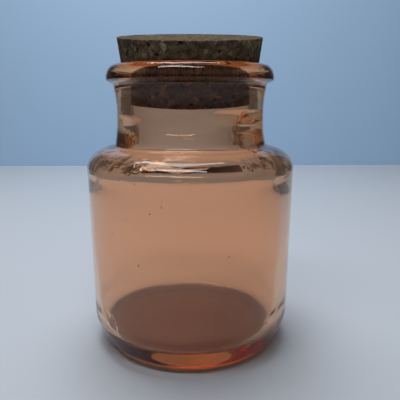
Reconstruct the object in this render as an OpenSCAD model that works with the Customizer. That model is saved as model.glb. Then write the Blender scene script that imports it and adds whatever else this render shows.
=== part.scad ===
// Wide-mouth glass bottle with a tapered cork stopper.
// Millimetres, +Z up. The bottle stands on its foot ring at z = 0 and its axis is the Z axis.
// The front of the bottle, the side the cork leans towards, is -Y.

/* [Bottle body] */

// Greatest outside diameter, at the top of the body
body_d = 76; // [66:1:100]

// Outside diameter at the bottom of the body, just above the heel
heel_d = 74.5; // [64:0.5:90]

// Height of the rounded heel
heel_h = 12; // [9:0.2:20]

// Angle by which the heel turns in from the wall at its top
heel_angle = 14; // [0:1:20]

// Outside diameter of the flat foot ring
foot_d = 57.2; // [44:0.4:60]

// Width of the flat foot ring
foot_w = 7.2; // [1:0.2:14]

// Height where the body ends and the shoulder starts
shoulder_z = 66.8; // [50:0.2:75]

// Height of the rounded shoulder
shoulder_h = 7.6; // [4:0.2:14]

/* [Neck and lip] */

// Outside diameter where the neck meets the shoulder and the lip
neck_d = 55.5; // [52:0.5:58]

// Outside diameter at the waist of the neck
waist_d = 53.4; // [48:0.2:55]

// Height of the underside of the lip
lip_z = 96.4; // [86:0.2:97]

// Outside diameter of the lip
lip_d = 60.4; // [58:0.2:70]

// Height of the top of the lip, the full height of the glass
bottle_h = 103; // [101:0.2:110]

/* [Inside] */

// Thickness of the body wall
wall = 4.8; // [2:0.1:6]

// Height of the inside floor at its edge
floor_z = 8; // [6:0.2:16]

// Rise of the inside floor from its edge to its middle
floor_rise = 1.8; // [0:0.2:6]

// Height of the rounded inside corner between the wall and the floor
corner_h = 5.6; // [2:0.2:12]

// Height of the hollow under the base
pushup_h = 0.8; // [0.4:0.2:4.4]

// Diameter of the bore of the neck, where it holds the cork
bore_d = 43.4; // [38:0.2:46]

// Height of the rounded inside edge of the mouth
mouth_h = 5; // [2:0.2:10]

/* [Cork] */

// Diameter of the top of the cork
cork_top_d = 51.4; // [46:0.2:60]

// Diameter that the bottom of the cork has before it is squeezed into the neck
cork_bottom_d = 46.4; // [43:0.2:51]

// Length of the cork along its own axis
cork_h = 21.5; // [15:0.5:34]

// Length of cork standing above the mouth, along its own axis
cork_out = 10.2; // [4:0.2:14]

// Lean of the cork towards the front, in degrees
cork_tilt = 8.9; // [0:0.1:12]

// Gap between the squeezed cork and the glass
cork_gap = 0.3; // [0.1:0.05:0.6]

/* [Hidden] */

$fn = 128;

body_r = body_d / 2;
heel_r = heel_d / 2;
foot_r = foot_d / 2;
neck_r = neck_d / 2;
waist_r = waist_d / 2;
lip_r = lip_d / 2;
bore_r = bore_d / 2;

// The shoulder turns through shoulder_turn degrees up to root_z, and the neck rises just above it
shoulder_turn = 84;
root_z = shoulder_z + shoulder_h;
neck_foot_z = root_z + 0.5;

// Lip: a small chamfer, a narrow band, then a rounded top that falls from its crest into the mouth
lip_corner_h = 1.4;
lip_chamfer_h = 0.5;
lip_chamfer_w = 0.6;
lip_band_h = 0.5;
lip_round_z = lip_z + lip_corner_h + lip_band_h;
crest_r = lip_r - 3.4;
mouth_z = bottle_h - mouth_h;

// Inside of the body, at its top and at the floor
inner_r = body_r - wall;
inner_floor_r = heel_r - wall;
corner_r = 2.6;

// Inside surface: straight bore, its tightest place, the throat that widens behind the root of the
// neck, the shoulder, and the body wall
throat_knots = [
    [bore_r, mouth_z],
    [bore_r, root_z + 13.6],
    [bore_r - 0.6, root_z + 6.6],
    [bore_r + 2.4, root_z + 0.4],
    [bore_r + 4.3, root_z - 2],
    [inner_r - 0.4, shoulder_z + 0.8],
    [inner_r, shoulder_z - 4.7],
    [inner_r, shoulder_z - 18.8]
];

// Level at which the axis of the cork crosses the mouth, and the worn edge of its ends
rim_z = bottle_h - 0.4;
cork_edge = 0.5;

// Room left free above and around the mouth, more than any cork fills
open_h = 40;
open_w = 20;

// Points of an elliptical arc round (cx, cz), from angle a0 to a1 in n steps
function arc(cx, cz, rx, rz, a0, a1, n) =
    [for (i = [0 : n]) let (a = a0 + (a1 - a0) * i / n) [cx + rx * cos(a), cz + rz * sin(a)]];

// Smooth curve through the points p, in n steps between each pair
function spline(p, n) =
    let (m = len(p) - 1)
    [for (k = [0 : m - 1], i = [0 : n - 1])
        let (t = i / n,
            a = k == 0 ? 2 * p[0] - p[1] : p[k - 1],
            b = p[k],
            c = p[k + 1],
            d = k == m - 1 ? 2 * p[m] - p[m - 1] : p[k + 2])
        (2 * b + (c - a) * t + (2 * a - 5 * b + 4 * c - d) * t * t
            + (3 * b - a - 3 * c + d) * t * t * t) / 2];

// Underside of the base: a rounded hollow from the axis out to the foot ring
function pushup_points() =
    [for (i = [0 : 6]) let (t = i / 6) [t * (foot_r - foot_w), pushup_h * (1 - t * t)]];

// Rounded heel, from the foot ring up to the wall
function heel_points() =
    let (turn_r = heel_r - heel_h * tan(heel_angle))
    [for (i = [0 : 9]) let (t = i / 9)
        [foot_r * pow(1 - t, 2) + 2 * turn_r * t * (1 - t) + heel_r * t * t, heel_h * t * t]];

// Waisted outside of the neck, from the shoulder up to the lip
function neck_points() =
    [for (i = [0 : 8]) let (t = i / 8)
        [waist_r + (neck_r - waist_r) * pow(2 * t - 1, 2), neck_foot_z + (lip_z - neck_foot_z) * t]];

// Outside half section, from the axis under the base up to the crest of the lip
function outside_points() = concat(
    pushup_points(),
    heel_points(),
    arc(neck_r, shoulder_z, body_r - neck_r, shoulder_h, 0, shoulder_turn, 9),
    neck_points(),
    [[lip_r - lip_chamfer_w, lip_z + lip_corner_h - lip_chamfer_h]],
    [[lip_r, lip_z + lip_corner_h]],
    arc(crest_r, lip_round_z, lip_r - crest_r, bottle_h - lip_round_z, 0, 90, 8)
);

// Mouth and bore, from the crest of the lip down, drawn in by gap
function mouth_points(gap) =
    arc(crest_r, mouth_z, crest_r - bore_r + gap, mouth_h + gap, 90, 180, 8);

// Inside floor, from its edge up to its middle
function floor_points() =
    [for (i = [1 : 5]) let (t = 1 - i / 5)
        [(inner_floor_r - corner_r) * t, floor_z + floor_rise * (1 - t * t)]];

// Inside half section, from the crest of the lip down to the floor
function inside_points() = concat(
    mouth_points(0),
    [for (p = spline(throat_knots, 4)) if (p[1] < mouth_z) p],
    [throat_knots[len(throat_knots) - 1]],
    arc(inner_floor_r - corner_r, floor_z + corner_h, corner_r, corner_h, 0, -90, 7),
    floor_points()
);

// One piece of moulded glass: base, body, shoulder, neck and lip
module glass_bottle() {
    color([0.80, 0.50, 0.38, 0.55])
        rotate_extrude()
            polygon(concat(outside_points(), inside_points()));
}

// The cork as it was cut, a plain taper, standing crooked in the mouth
module leaning_cork() {
    slope = (cork_top_d - cork_bottom_d) / 2 / cork_h;
    translate([0, 0, rim_z])
        rotate([cork_tilt, 0, 0])
            translate([0, 0, cork_out - cork_h])
                rotate_extrude()
                    polygon([
                        [0, 0],
                        [cork_bottom_d / 2, 0],
                        [cork_top_d / 2 - slope * cork_edge, cork_h - cork_edge],
                        [cork_top_d / 2 - cork_edge, cork_h],
                        [0, cork_h]
                    ]);
}

// The space the cork can fill: the bore, the rounded mouth, and everything above it
module mouth_space() {
    top_z = bottle_h + cork_gap;
    rotate_extrude()
        polygon(concat(
            [[0, 0]],
            [[0, top_z + open_h]],
            [[crest_r + open_w, top_z + open_h]],
            [[crest_r + open_w, top_z]],
            mouth_points(cork_gap),
            [[bore_r - cork_gap, 0]]
        ));
}

// Tapered cork, squeezed to the shape of the mouth where it is pushed in
module cork_stopper() {
    color([0.45, 0.33, 0.22])
        intersection() {
            leaning_cork();
            mouth_space();
        }
}

glass_bottle();
cork_stopper();
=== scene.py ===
"""Studio scene of a corked bottle of tinted moulded glass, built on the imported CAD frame."""
import math
import random

import bmesh
import bpy
import numpy as np
from mathutils import Euler, Matrix, Vector, noise


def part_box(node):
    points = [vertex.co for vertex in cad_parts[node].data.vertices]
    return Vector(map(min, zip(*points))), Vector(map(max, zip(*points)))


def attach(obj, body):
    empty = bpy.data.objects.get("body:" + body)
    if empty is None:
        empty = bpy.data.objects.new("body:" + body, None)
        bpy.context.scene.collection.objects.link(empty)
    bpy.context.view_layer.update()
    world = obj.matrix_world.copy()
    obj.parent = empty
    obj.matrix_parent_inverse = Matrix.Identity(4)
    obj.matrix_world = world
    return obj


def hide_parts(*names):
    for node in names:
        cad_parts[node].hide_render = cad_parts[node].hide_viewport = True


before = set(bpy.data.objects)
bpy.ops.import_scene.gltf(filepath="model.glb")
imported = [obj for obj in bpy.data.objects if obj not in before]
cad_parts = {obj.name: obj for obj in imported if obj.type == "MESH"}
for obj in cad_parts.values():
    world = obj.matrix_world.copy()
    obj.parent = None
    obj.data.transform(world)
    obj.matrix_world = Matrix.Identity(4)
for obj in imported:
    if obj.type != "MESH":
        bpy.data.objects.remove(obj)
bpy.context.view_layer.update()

MM = 0.001
SCENE = bpy.context.scene

# ---------------------------------------------------------------- sizes, in millimetres
GLASS_LOW, GLASS_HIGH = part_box("glass_bottle")

BODY_R = (GLASS_HIGH.x - GLASS_LOW.x) / 2 / MM
BOTTLE_H = GLASS_HIGH.z / MM

# Outside of the glass
HEEL_R = BODY_R - 0.75
HEEL_H = 12.0
HEEL_ANGLE = math.radians(14)
FOOT_R = 28.6
FOOT_W = 7.2
PUSHUP_H = 0.8
SHOULDER_Z = BOTTLE_H - 36.2
SHOULDER_H = 7.6
SHOULDER_TURN = 84
ROOT_Z = SHOULDER_Z + SHOULDER_H
NECK_FOOT_Z = ROOT_Z + 0.5
NECK_R = 27.75
WAIST_R = 26.7
LIP_Z = BOTTLE_H - 6.6
LIP_R = 30.2
LIP_CORNER_H = 1.4
LIP_CHAMFER_H = 0.5
LIP_CHAMFER_W = 0.6
LIP_BAND_H = 0.5
CREST_R = LIP_R - 3.4
SEAM_Z = LIP_Z - 2.4

# Inside of the glass
WALL = 4.8
FLOOR_Z = 8.0
FLOOR_RISE = 1.8
CORNER_R = 2.6
CORNER_H = 5.6
BORE_R = 21.7
INNER_R = BODY_R - WALL
THROAT = [(BORE_R, ROOT_Z + 13.6), (BORE_R - 0.6, ROOT_Z + 6.6), (BORE_R + 2.4, ROOT_Z + 0.4),
          (BORE_R + 4.3, ROOT_Z - 2.0), (INNER_R - 0.4, SHOULDER_Z + 0.8),
          (INNER_R, SHOULDER_Z - 4.7), (INNER_R, SHOULDER_Z - 18.8), (INNER_R, SHOULDER_Z - 30.8)]
MOUTH_H = 5.0
CAVITY_SHIFT = 0.9
NECK_OVAL = 0.8
BODY_OVAL = 0.75

# Cork
CORK_GAP = 0.3
CORK_TOP_R = 25.7
CORK_BOTTOM_R = 23.2
CORK_H = 21.5
CORK_OUT = 10.2
CORK_TILT = math.radians(8.9)
CORK_EDGE = 0.5
CHIP_ANGLE = 50
RIM_Z = BOTTLE_H - 0.4


# ---------------------------------------------------------------- small helpers
def arc(cx, cz, rx, rz, start, end):
    """A fine elliptical arc round (cx, cz), from angle start to end in degrees."""
    turn = np.radians(np.linspace(start, end, 61))
    return np.column_stack([cx + rx * np.cos(turn), cz + rz * np.sin(turn)])


def line(*points):
    return np.array(points, float)


def resample(points, spacing):
    """The same outline with evenly spaced points, both ends kept."""
    step = np.hypot(*np.diff(points, axis=0).T)
    along = np.concatenate([[0], np.cumsum(step)])
    count = max(2, int(round(along[-1] / spacing)) + 1)
    at = np.linspace(0, along[-1], count)
    return np.column_stack([np.interp(at, along, points[:, i]) for i in (0, 1)])


def chain(stretches):
    """Joins (outline, spacing) stretches end to end, without doubled points."""
    parts = [resample(points, spacing) for points, spacing in stretches]
    return np.vstack([parts[0]] + [part[1:] for part in parts[1:]])


def wave(x, y, z, size, seed):
    """Smooth noise from -1 to 1 whose bumps are about size across."""
    return noise.noise(Vector((x / size + seed, y / size - seed, z / size + 0.37 * seed)))


def bell(distance, width):
    return math.exp(-(distance / width) ** 2)


def smoothstep(low, high, value):
    """0 at low, 1 at high, smooth between. low may be above high."""
    t = min(1.0, max(0.0, (value - low) / (high - low)))
    return t * t * (3 - 2 * t)


def mesh_object(name, vertices, faces, material):
    mesh = bpy.data.meshes.new(name)
    mesh.from_pydata([tuple(v) for v in vertices], [], faces)
    mesh.validate()
    mesh.shade_smooth()
    mesh.materials.append(material)
    piece = bpy.data.objects.new(name, mesh)
    SCENE.collection.objects.link(piece)
    return piece


def lathed(name, vertices, rings, material, add_more=None):
    """A closed piece with faces between rings of vertices. A ring of one vertex is a pole."""
    faces = []
    for low, high in zip(rings, rings[1:]):
        count = max(len(low), len(high))
        for i in range(count):
            j = (i + 1) % count
            if len(low) == 1:
                faces.append((low[0], high[j], high[i]))
            elif len(high) == 1:
                faces.append((low[i], low[j], high[0]))
            else:
                faces.append((low[i], low[j], high[j], high[i]))
    piece = mesh_object(name, vertices, faces, material)
    grid = bmesh.new()
    grid.from_mesh(piece.data)
    bmesh.ops.recalc_face_normals(grid, faces=grid.faces)
    if add_more:
        add_more(grid)
    grid.to_mesh(piece.data)
    grid.free()
    piece.data.shade_smooth()
    return piece


# ---------------------------------------------------------------- node material helpers
class Nodes:
    """A material's node tree, with short ways to add and join nodes."""

    def __init__(self, name):
        self.material = bpy.data.materials.new(name)
        self.material.use_nodes = True
        self.tree = self.material.node_tree
        self.tree.nodes.clear()
        self.output = self.add("ShaderNodeOutputMaterial")

    def add(self, kind, **values):
        node = self.tree.nodes.new(kind)
        for key, value in values.items():
            if hasattr(node, key):
                setattr(node, key, value)
            else:
                node.inputs[key.replace("_", " ")].default_value = value
        return node

    def join(self, source, target):
        self.tree.links.new(source, target)

    def coords(self):
        return self.add("ShaderNodeTexCoord").outputs["Object"]

    def noise(self, vector, scale, detail, roughness=0.5):
        node = self.add("ShaderNodeTexNoise", Scale=scale, Detail=detail, Roughness=roughness)
        self.join(vector, node.inputs["Vector"])
        return node.outputs["Fac"]

    def ramp(self, factor, stops):
        node = self.add("ShaderNodeValToRGB")
        points = node.color_ramp.elements
        while len(points) < len(stops):
            points.new(0.5)
        for point, (place, colour) in zip(points, stops):
            point.position = place
            point.color = (*colour, 1.0)
        self.join(factor, node.inputs["Fac"])
        return node.outputs["Color"]

    def math(self, operation, first, second):
        node = self.add("ShaderNodeMath", operation=operation)
        for socket, value in zip(node.inputs, (first, second)):
            if isinstance(value, (int, float)):
                socket.default_value = value
            else:
                self.join(value, socket)
        return node.outputs["Value"]

    def mix(self, kind, factor, first, second):
        node = self.add("ShaderNodeMix", data_type="RGBA", blend_type=kind)
        for name, value in (("Factor", factor), ("A", first), ("B", second)):
            socket = [s for s in node.inputs if s.name == name and s.enabled][0]
            if isinstance(value, (int, float)):
                socket.default_value = value
            elif isinstance(value, tuple):
                socket.default_value = (*value, 1.0)
            else:
                self.join(value, socket)
        return [s for s in node.outputs if s.enabled][0]

    def bump(self, height, strength, distance):
        node = self.add("ShaderNodeBump", Strength=strength, Distance=distance)
        self.join(height, node.inputs["Height"])
        return node.outputs["Normal"]

    def stretched(self, vector, scale):
        """The coordinates multiplied by scale, axis by axis."""
        node = self.add("ShaderNodeVectorMath", operation="MULTIPLY")
        self.join(vector, node.inputs[0])
        node.inputs[1].default_value = scale
        return node.outputs["Vector"]

    def bent(self, vector, scale, reach):
        """The coordinates pushed about by noise of this scale, by up to reach along each axis."""
        wobble = self.add("ShaderNodeTexNoise", Scale=scale, Detail=3.0)
        self.join(vector, wobble.inputs["Vector"])
        node = self.add("ShaderNodeVectorMath", operation="MULTIPLY_ADD")
        self.join(wobble.outputs["Color"], node.inputs[0])
        node.inputs[1].default_value = reach
        self.join(vector, node.inputs[2])
        return node.outputs["Vector"]

    def voronoi(self, vector, feature, scale):
        node = self.add("ShaderNodeTexVoronoi", feature=feature, Scale=scale)
        self.join(vector, node.inputs["Vector"])
        return node


# ---------------------------------------------------------------- materials
def glass_material():
    """Rose amber glass: its colour is partly at the surface and partly through its thickness."""
    nodes = Nodes("tinted_glass")
    shader = nodes.add("ShaderNodeBsdfPrincipled")
    shader.inputs["Base Color"].default_value = (0.985, 0.725, 0.565, 1.0)
    shader.inputs["Transmission Weight"].default_value = 1.0
    shader.inputs["IOR"].default_value = 1.5
    coords = nodes.coords()
    smears = nodes.add("ShaderNodeMapRange")
    nodes.join(nodes.noise(coords, 60.0, 5.0, 0.6), smears.inputs["Value"])
    for key, value in (("From Min", 0.45), ("From Max", 0.75), ("To Min", 0.01), ("To Max", 0.05)):
        smears.inputs[key].default_value = value
    nodes.join(smears.outputs["Result"], shader.inputs["Roughness"])

    # Height above the foot, 0 to 1 over 125 mm, picks out the zones of the bottle
    split = nodes.add("ShaderNodeSeparateXYZ")
    nodes.join(coords, split.inputs["Vector"])
    height = nodes.math("MULTIPLY", split.outputs["Z"], 8.0)

    # Chill wrinkles: crumpled patches with a few fine ridges, on the shoulder and above the heel
    bent = nodes.bent(coords, 90.0, (0.012, 0.012, 0.006))
    folds = nodes.voronoi(nodes.stretched(bent, (1.0, 1.0, 2.6)), "DISTANCE_TO_EDGE", 85.0)
    ridge = nodes.ramp(folds.outputs["Distance"], [
        (0.0, (1.0, 1.0, 1.0)), (0.07, (0.0, 0.0, 0.0))])
    somewhere = nodes.ramp(nodes.noise(coords, 75.0, 1.0), [
        (0.47, (0.0, 0.0, 0.0)), (0.56, (1.0, 1.0, 1.0))])
    zones = nodes.ramp(height, [
        (0.085, (0.0, 0.0, 0.0)), (0.105, (0.8, 0.8, 0.8)), (0.135, (0.8, 0.8, 0.8)),
        (0.15, (0.0, 0.0, 0.0)), (0.515, (0.0, 0.0, 0.0)), (0.54, (1.0, 1.0, 1.0)),
        (0.59, (1.0, 1.0, 1.0)), (0.60, (0.0, 0.0, 0.0))])
    crumple = nodes.math("MULTIPLY", nodes.noise(bent, 260.0, 1.0), 2.6)
    folded = nodes.math("ADD", nodes.math("MULTIPLY", ridge, 0.25), crumple)
    wrinkles = nodes.math("MULTIPLY", nodes.math("MULTIPLY", folded, somewhere), zones)

    # Drawn streaks up the neck, and the faint orange peel of the mould everywhere
    upright = nodes.stretched(coords, (1.0, 1.0, 0.12))
    streaks = nodes.math("MULTIPLY", nodes.noise(upright, 520.0, 3.0, 0.6),
                         nodes.ramp(height, [(0.585, (0.0, 0.0, 0.0)), (0.62, (0.5, 0.5, 0.5)),
                                             (0.72, (0.5, 0.5, 0.5)), (0.77, (0.0, 0.0, 0.0))]))
    peel = nodes.math("MULTIPLY", nodes.noise(coords, 140.0, 3.0, 0.5), 0.35)
    relief = nodes.math("ADD", nodes.math("ADD", wrinkles, streaks), peel)
    nodes.join(nodes.bump(relief, 1.0, 0.00008), shader.inputs["Normal"])

    absorb = nodes.add("ShaderNodeVolumeAbsorption")
    absorb.inputs["Color"].default_value = (0.90, 0.68, 0.44, 1.0)
    absorb.inputs["Density"].default_value = 80.0
    nodes.join(shader.outputs["BSDF"], nodes.output.inputs["Surface"])
    nodes.join(absorb.outputs["Volume"], nodes.output.inputs["Volume"])
    return nodes.material


def cork_material():
    """Pressed cork: small granules of near browns, dark joints and scattered black pores."""
    nodes = Nodes("cork")
    coords = nodes.coords()
    bent = nodes.bent(coords, 420.0, (0.003, 0.003, 0.003))
    granules = nodes.voronoi(bent, "F1", 620.0)
    joints = nodes.voronoi(bent, "DISTANCE_TO_EDGE", 620.0)
    pores = nodes.voronoi(bent, "F1", 300.0)
    specks = nodes.voronoi(bent, "F1", 900.0)
    shade = nodes.add("ShaderNodeSeparateColor")
    nodes.join(granules.outputs["Color"], shade.inputs["Color"])
    browns = nodes.ramp(shade.outputs["Red"], [
        (0.0, (0.095, 0.066, 0.038)), (0.4, (0.14, 0.10, 0.060)),
        (0.8, (0.19, 0.14, 0.086)), (1.0, (0.30, 0.235, 0.15))])
    grain = nodes.noise(coords, 1700.0, 5.0, 0.65)
    mottled = nodes.mix("MULTIPLY", 0.9, browns, nodes.ramp(grain, [
        (0.32, (0.45, 0.43, 0.40)), (0.68, (1.25, 1.25, 1.25))]))
    patches = nodes.noise(coords, 170.0, 3.0, 0.6)
    patched = nodes.mix("MULTIPLY", 0.8, mottled, nodes.ramp(patches, [
        (0.35, (0.72, 0.66, 0.62)), (0.65, (1.15, 1.15, 1.15))]))
    joint_mask = nodes.ramp(joints.outputs["Distance"], [
        (0.0, (0.55, 0.52, 0.5)), (0.16, (1.0, 1.0, 1.0))])
    jointed = nodes.mix("MULTIPLY", 0.7, patched, joint_mask)
    pore_mask = nodes.ramp(pores.outputs["Distance"], [
        (0.13, (0.10, 0.085, 0.07)), (0.27, (1.0, 1.0, 1.0))])
    pored = nodes.mix("MULTIPLY", 1.0, jointed, pore_mask)
    speck_mask = nodes.ramp(specks.outputs["Distance"], [
        (0.10, (0.25, 0.22, 0.2)), (0.25, (1.0, 1.0, 1.0))])
    coloured = nodes.mix("MULTIPLY", 0.8, pored, speck_mask)
    shader = nodes.add("ShaderNodeBsdfPrincipled", Roughness=0.9)
    shader.inputs["Specular IOR Level"].default_value = 0.2
    nodes.join(coloured, shader.inputs["Base Color"])
    height = nodes.math("ADD", nodes.math("MULTIPLY", joint_mask, 0.4), pore_mask)
    height = nodes.math("ADD", height, nodes.math("MULTIPLY", speck_mask, 0.4))
    height = nodes.math("ADD", height, nodes.math("MULTIPLY", grain, 0.5))
    nodes.join(nodes.bump(height, 0.8, 0.0005), shader.inputs["Normal"])
    nodes.join(shader.outputs["BSDF"], nodes.output.inputs["Surface"])
    return nodes.material


def stage_material(name, colour):
    nodes = Nodes(name)
    shader = nodes.add("ShaderNodeBsdfPrincipled", Roughness=0.7)
    shader.inputs["Base Color"].default_value = (*colour, 1.0)
    nodes.join(shader.outputs["BSDF"], nodes.output.inputs["Surface"])
    return nodes.material


# ---------------------------------------------------------------- glass bottle
def outside_outline():
    """Half section from the axis under the base up to the crest of the lip."""
    hollow = np.linspace(0, 1, 41)
    hollow = np.column_stack([hollow * (FOOT_R - FOOT_W), PUSHUP_H * (1 - hollow ** 2)])
    rise = np.linspace(0, 1, 41)
    neck = np.column_stack([WAIST_R + (NECK_R - WAIST_R) * (2 * rise - 1) ** 2,
                            NECK_FOOT_Z + (LIP_Z - NECK_FOOT_Z) * rise])
    t = np.linspace(0, 1, 61)
    turn_r = HEEL_R - HEEL_H * math.tan(HEEL_ANGLE)
    heel = np.column_stack([FOOT_R * (1 - t) ** 2 + 2 * turn_r * t * (1 - t) + HEEL_R * t ** 2,
                            HEEL_H * t ** 2])
    shoulder = arc(NECK_R, SHOULDER_Z, BODY_R - NECK_R, SHOULDER_H, 0, SHOULDER_TURN)
    corner_z = LIP_Z + LIP_CORNER_H
    chamfer = (LIP_R - LIP_CHAMFER_W, corner_z - LIP_CHAMFER_H)
    round_z = corner_z + LIP_BAND_H
    crest = arc(CREST_R, round_z, LIP_R - CREST_R, BOTTLE_H - round_z, 0, 90)
    return chain([
        (hollow, 1.6),
        (line(hollow[-1], heel[0]), 0.8),
        (heel, 0.75),
        (line(heel[-1], shoulder[0]), 1.5),
        (shoulder, 0.55),
        (line(shoulder[-1], neck[0]), 0.25),
        (neck, 0.7),
        (line(neck[-1], chamfer), 0.4),
        (line(chamfer, (LIP_R, corner_z)), 0.25),
        (line((LIP_R, corner_z), crest[0]), 0.3),
        (crest, 0.45),
    ])


def spline(knots, steps=30):
    """A smooth curve through the knots."""
    knots = np.array(knots, float)
    ends = np.vstack([2 * knots[0] - knots[1], knots, 2 * knots[-1] - knots[-2]])
    t = np.linspace(0, 1, steps, endpoint=False)[:, None]
    curve = [0.5 * (2 * p1 + (p2 - p0) * t + (2 * p0 - 5 * p1 + 4 * p2 - p3) * t ** 2
                    + (3 * p1 - p0 - 3 * p2 + p3) * t ** 3)
             for p0, p1, p2, p3 in zip(ends, ends[1:], ends[2:], ends[3:])]
    return np.vstack(curve + [knots[-1:]])


def inside_outline():
    """Half section from the crest of the lip down to the floor on the axis."""
    floor_r = HEEL_R - WALL
    mouth = arc(CREST_R, BOTTLE_H - MOUTH_H, CREST_R - BORE_R, MOUTH_H, 90, 180)
    throat = spline([mouth[-1]] + THROAT)
    corner = arc(floor_r - CORNER_R, FLOOR_Z + CORNER_H, CORNER_R, CORNER_H, 0, -90)
    across = np.linspace(1, 0, 41)
    floor = np.column_stack([corner[-1, 0] * across, FLOOR_Z + FLOOR_RISE * (1 - across ** 2)])
    return chain([
        (mouth, 0.6),
        (throat, 0.6),
        (line(throat[-1], corner[0]), 1.6),
        (corner, 0.5),
        (floor, 1.5),
    ])


def ring_angles():
    """Angles round the axis from the front, closer together on the front than on the back."""
    front = np.arange(-75, 75, 0.9)
    back = np.linspace(75, 285, 96, endpoint=False)
    return np.radians(np.concatenate([front, back]))


def outside_shape(x, y, z):
    """How far the outside stands off its true circle: ripples of the mould and its seam."""
    ripple = 0.05 * wave(x, y, z, 22, 3.1) + 0.02 * wave(x, y, z, 7, 8.4)
    seam = 0.12 * bell(z - SEAM_Z, 0.35)
    tooling = 0.05 * sum(bell(z - BOTTLE_H + drop, 0.3) for drop in (1.0, 2.6, 3.6))
    return ripple + seam + tooling - 0.10


def inside_shape(x, y, z):
    """How far the inside stands off its true circle: an uneven, slightly oval cavity."""
    swell = 0.22 * wave(x, y, z, 30, 5.7) + 0.07 * wave(x, y, z * 0.5, 9, 1.3)
    turn = (y * y - x * x) / max(x * x + y * y, 1e-6)
    in_body = smoothstep(66, 58, z) * smoothstep(10, 20, z)
    in_neck = smoothstep(87, 81, z) * smoothstep(72, 76, z)
    return swell + turn * (NECK_OVAL * in_neck - BODY_OVAL * in_body)


def seeds():
    """Small bubbles in the body wall, as (angle from the front in degrees, height, radius)."""
    front = [(-28, 65.5, 0.20), (-20, 56.5, 0.26), (-34, 54, 0.20), (-44, 48, 0.24), (19, 42.5, 0.22),
             (24, 42.5, 0.18), (-27, 39, 0.24), (-6, 40.5, 0.18), (-8, 60, 0.12)]
    chance = random.Random(7)
    rest = [(chance.uniform(40, 320), chance.uniform(22, 62), chance.uniform(0.08, 0.16))
            for _ in range(26)]
    return front + rest


def add_bubbles(grid):
    """Closed shells facing inwards, so that each is a pocket of air in the wall."""
    place_r = BODY_R - 1.4
    for angle, height, radius in seeds():
        turn = math.radians(angle)
        at = Vector((place_r * math.sin(turn), -place_r * math.cos(turn), height)) * MM
        made = bmesh.ops.create_icosphere(grid, subdivisions=2, radius=radius * MM,
                                          matrix=Matrix.Translation(at))
        faces = {face for vertex in made["verts"] for face in vertex.link_faces}
        bmesh.ops.reverse_faces(grid, faces=list(faces))


def glass_bottle(material):
    outline = np.vstack([outside_outline(), inside_outline()[1:]])
    outer_count = len(outside_outline())
    angles = ring_angles()
    vertices = []
    rings = []
    for index, (r, z) in enumerate(outline):
        if r < 1e-6:
            rings.append([len(vertices)])
            vertices.append((0, 0, z * MM))
            continue
        ring = []
        outer = index < outer_count
        for angle in angles:
            x, y = r * math.sin(angle), -r * math.cos(angle)
            fade = smoothstep(0, 12, r)
            stand = outside_shape(x, y, z) if outer else inside_shape(x, y, z)
            if not outer:
                stand *= smoothstep(0, 6, BOTTLE_H - z)
            grow = 1 + fade * stand / r
            shift = 0 if outer else -CAVITY_SHIFT * smoothstep(88, 82, z)
            ring.append(len(vertices))
            vertices.append(((x * grow + shift) * MM, y * grow * MM, z * MM))
        rings.append(ring)
    return lathed("bottle_glass", vertices, rings, material, add_bubbles)


# ---------------------------------------------------------------- cork stopper
def mouth_limit(z):
    """Greatest radius that the squeezed cork can have at height z."""
    low = BOTTLE_H - MOUTH_H
    if z <= low:
        return BORE_R - CORK_GAP
    rise = (z - low) / (MOUTH_H + CORK_GAP)
    if rise >= 1:
        return CREST_R + 20
    return CREST_R - (CREST_R - BORE_R + CORK_GAP) * math.sqrt(1 - rise * rise)


def cork_place(r, angle, along):
    """A point of the leaning cork, squeezed into the mouth. along is measured up its own axis."""
    x, y, z = r * math.sin(angle), -r * math.cos(angle), along + CORK_OUT - CORK_H
    c, s = math.cos(CORK_TILT), math.sin(CORK_TILT)
    y, z = y * c - z * s, y * s + z * c + RIM_Z
    reach = math.hypot(x, y)
    limit = mouth_limit(z)
    if reach > limit:
        x, y = x * limit / reach, y * limit / reach
    return x, y, z


def cork_stopper(material):
    slope = (CORK_TOP_R - CORK_BOTTOM_R) / CORK_H
    side = line((CORK_BOTTOM_R, 0), (CORK_TOP_R - slope * CORK_EDGE, CORK_H - CORK_EDGE))
    outline = chain([
        (line((0, 0), (CORK_BOTTOM_R - CORK_EDGE, 0)), 0.8),
        (line((CORK_BOTTOM_R - CORK_EDGE, 0), (CORK_BOTTOM_R, CORK_EDGE * 0.6)), 0.3),
        (line((CORK_BOTTOM_R, CORK_EDGE * 0.6), side[1]), 0.4),
        (arc(CORK_TOP_R - CORK_EDGE, CORK_H - CORK_EDGE, CORK_EDGE, CORK_EDGE, 0, 90), 0.2),
        (line((CORK_TOP_R - CORK_EDGE, CORK_H), (0, CORK_H)), 0.55),
    ])
    angles = np.radians(np.linspace(0, 360, 380, endpoint=False))
    vertices = []
    rings = []
    for r, along in outline:
        if r < 1e-6:
            rings.append([len(vertices)])
            vertices.append(tuple(MM * v for v in cork_place(0, 0, along)))
            continue
        ring = []
        at_bottom = along <= 0.001
        at_top = along >= CORK_H - 0.001
        for angle in angles:
            x, y = r * math.sin(angle), r * math.cos(angle)
            rough = 0.10 * wave(x, y, along, 2.2, 4.0) + 0.06 * wave(x, y, along, 0.9, 6.0)
            pit = max(0.0, wave(x, y, along, 1.5, 9.5) - 0.42) * 1.6
            chip = 1.1 * bell(math.degrees(angle) - CHIP_ANGLE, 3.0)
            chip *= smoothstep(CORK_H - 1.6, CORK_H, along)
            inward = rough - 0.12 - pit - chip * smoothstep(CORK_TOP_R - 2.5, CORK_TOP_R - 1, r)
            if at_bottom:
                place = cork_place(r, angle, along - inward)
            elif at_top:
                place = cork_place(r, angle, along + inward)
            else:
                place = cork_place(r + inward, angle, along)
            ring.append(len(vertices))
            vertices.append(tuple(MM * v for v in place))
        rings.append(ring)
    return lathed("cork", vertices, rings, material)


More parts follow.
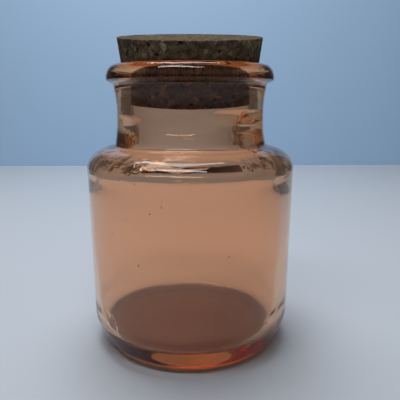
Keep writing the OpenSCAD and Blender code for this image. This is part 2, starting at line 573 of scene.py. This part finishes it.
# ---------------------------------------------------------------- stage, light and camera
def stage():
    """A pale floor and a pale wall some way behind the bottle, in metres.

    The floor lies a hair below the foot, as glass only touches a table at a few high points."""
    floor_z = -0.15 * MM
    side = 0.6
    wall_y = 0.47
    wall_left, wall_right, wall_top = -0.30, 0.31, 0.45
    floor = mesh_object("floor", [(-side, -side, floor_z), (side, -side, floor_z),
                                  (side, wall_y, floor_z), (-side, wall_y, floor_z)],
                        [(0, 1, 2, 3)], stage_material("floor", (0.58, 0.63, 0.70)))
    wall = mesh_object("backdrop", [(wall_left, wall_y, 0), (wall_right, wall_y, 0),
                                    (wall_right, wall_y, wall_top), (wall_left, wall_y, wall_top)],
                       [(0, 1, 2, 3)], stage_material("backdrop", (0.42, 0.61, 0.84)))


def area_light(name, place, target, width, height, power):
    data = bpy.data.lights.new(name, "AREA")
    data.shape = "RECTANGLE"
    data.size = width
    data.size_y = height
    data.energy = power
    lamp = bpy.data.objects.new(name, data)
    lamp.location = place
    aim = Vector(target) - Vector(place)
    lamp.rotation_euler = aim.to_track_quat("-Z", "Y").to_euler()
    SCENE.collection.objects.link(lamp)


def lights():
    area_light("overhead", (-0.05, 0.14, 0.62), (0.0, 0.18, 0), 0.40, 0.36, 2.5)
    area_light("window", (-0.11, -0.36, 0.68), (0, 0, 0.08), 0.62, 0.10, 1.6)
    world = bpy.data.worlds.new("studio")
    world.use_nodes = True
    world.node_tree.nodes["Background"].inputs["Color"].default_value = (0.90, 0.95, 1.0, 1)
    world.node_tree.nodes["Background"].inputs["Strength"].default_value = 0.08
    SCENE.world = world


def camera():
    """Looks slightly down at the bottle from in front, at the level of its neck."""
    data = bpy.data.cameras.new("camera")
    data.sensor_width = 36.0
    data.lens = 43.2
    data.clip_start = 0.01
    data.clip_end = 10
    view = bpy.data.objects.new("camera", data)
    view.location = (0, -0.1792, 0.0923)
    pitch, yaw = math.radians(12.25), math.radians(1.136)
    view.rotation_euler = Euler((math.pi / 2 - pitch, 0, -yaw), "XYZ")
    SCENE.collection.objects.link(view)
    SCENE.camera = view


def render_quality():
    """Enough bounces for light to pass the four walls of the glass, and a clean result."""
    SCENE.cycles.max_bounces = 24
    SCENE.cycles.transmission_bounces = 24
    SCENE.cycles.glossy_bounces = 8
    SCENE.cycles.diffuse_bounces = 4
    SCENE.cycles.use_denoising = True
    SCENE.view_settings.view_transform = "Standard"


# ---------------------------------------------------------------- assembly
glass = glass_bottle(glass_material())
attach(glass, "bottle")
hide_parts("glass_bottle")

cork = cork_stopper(cork_material())
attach(cork, "stopper")
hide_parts("cork_stopper")

stage()
lights()
camera()
render_quality()
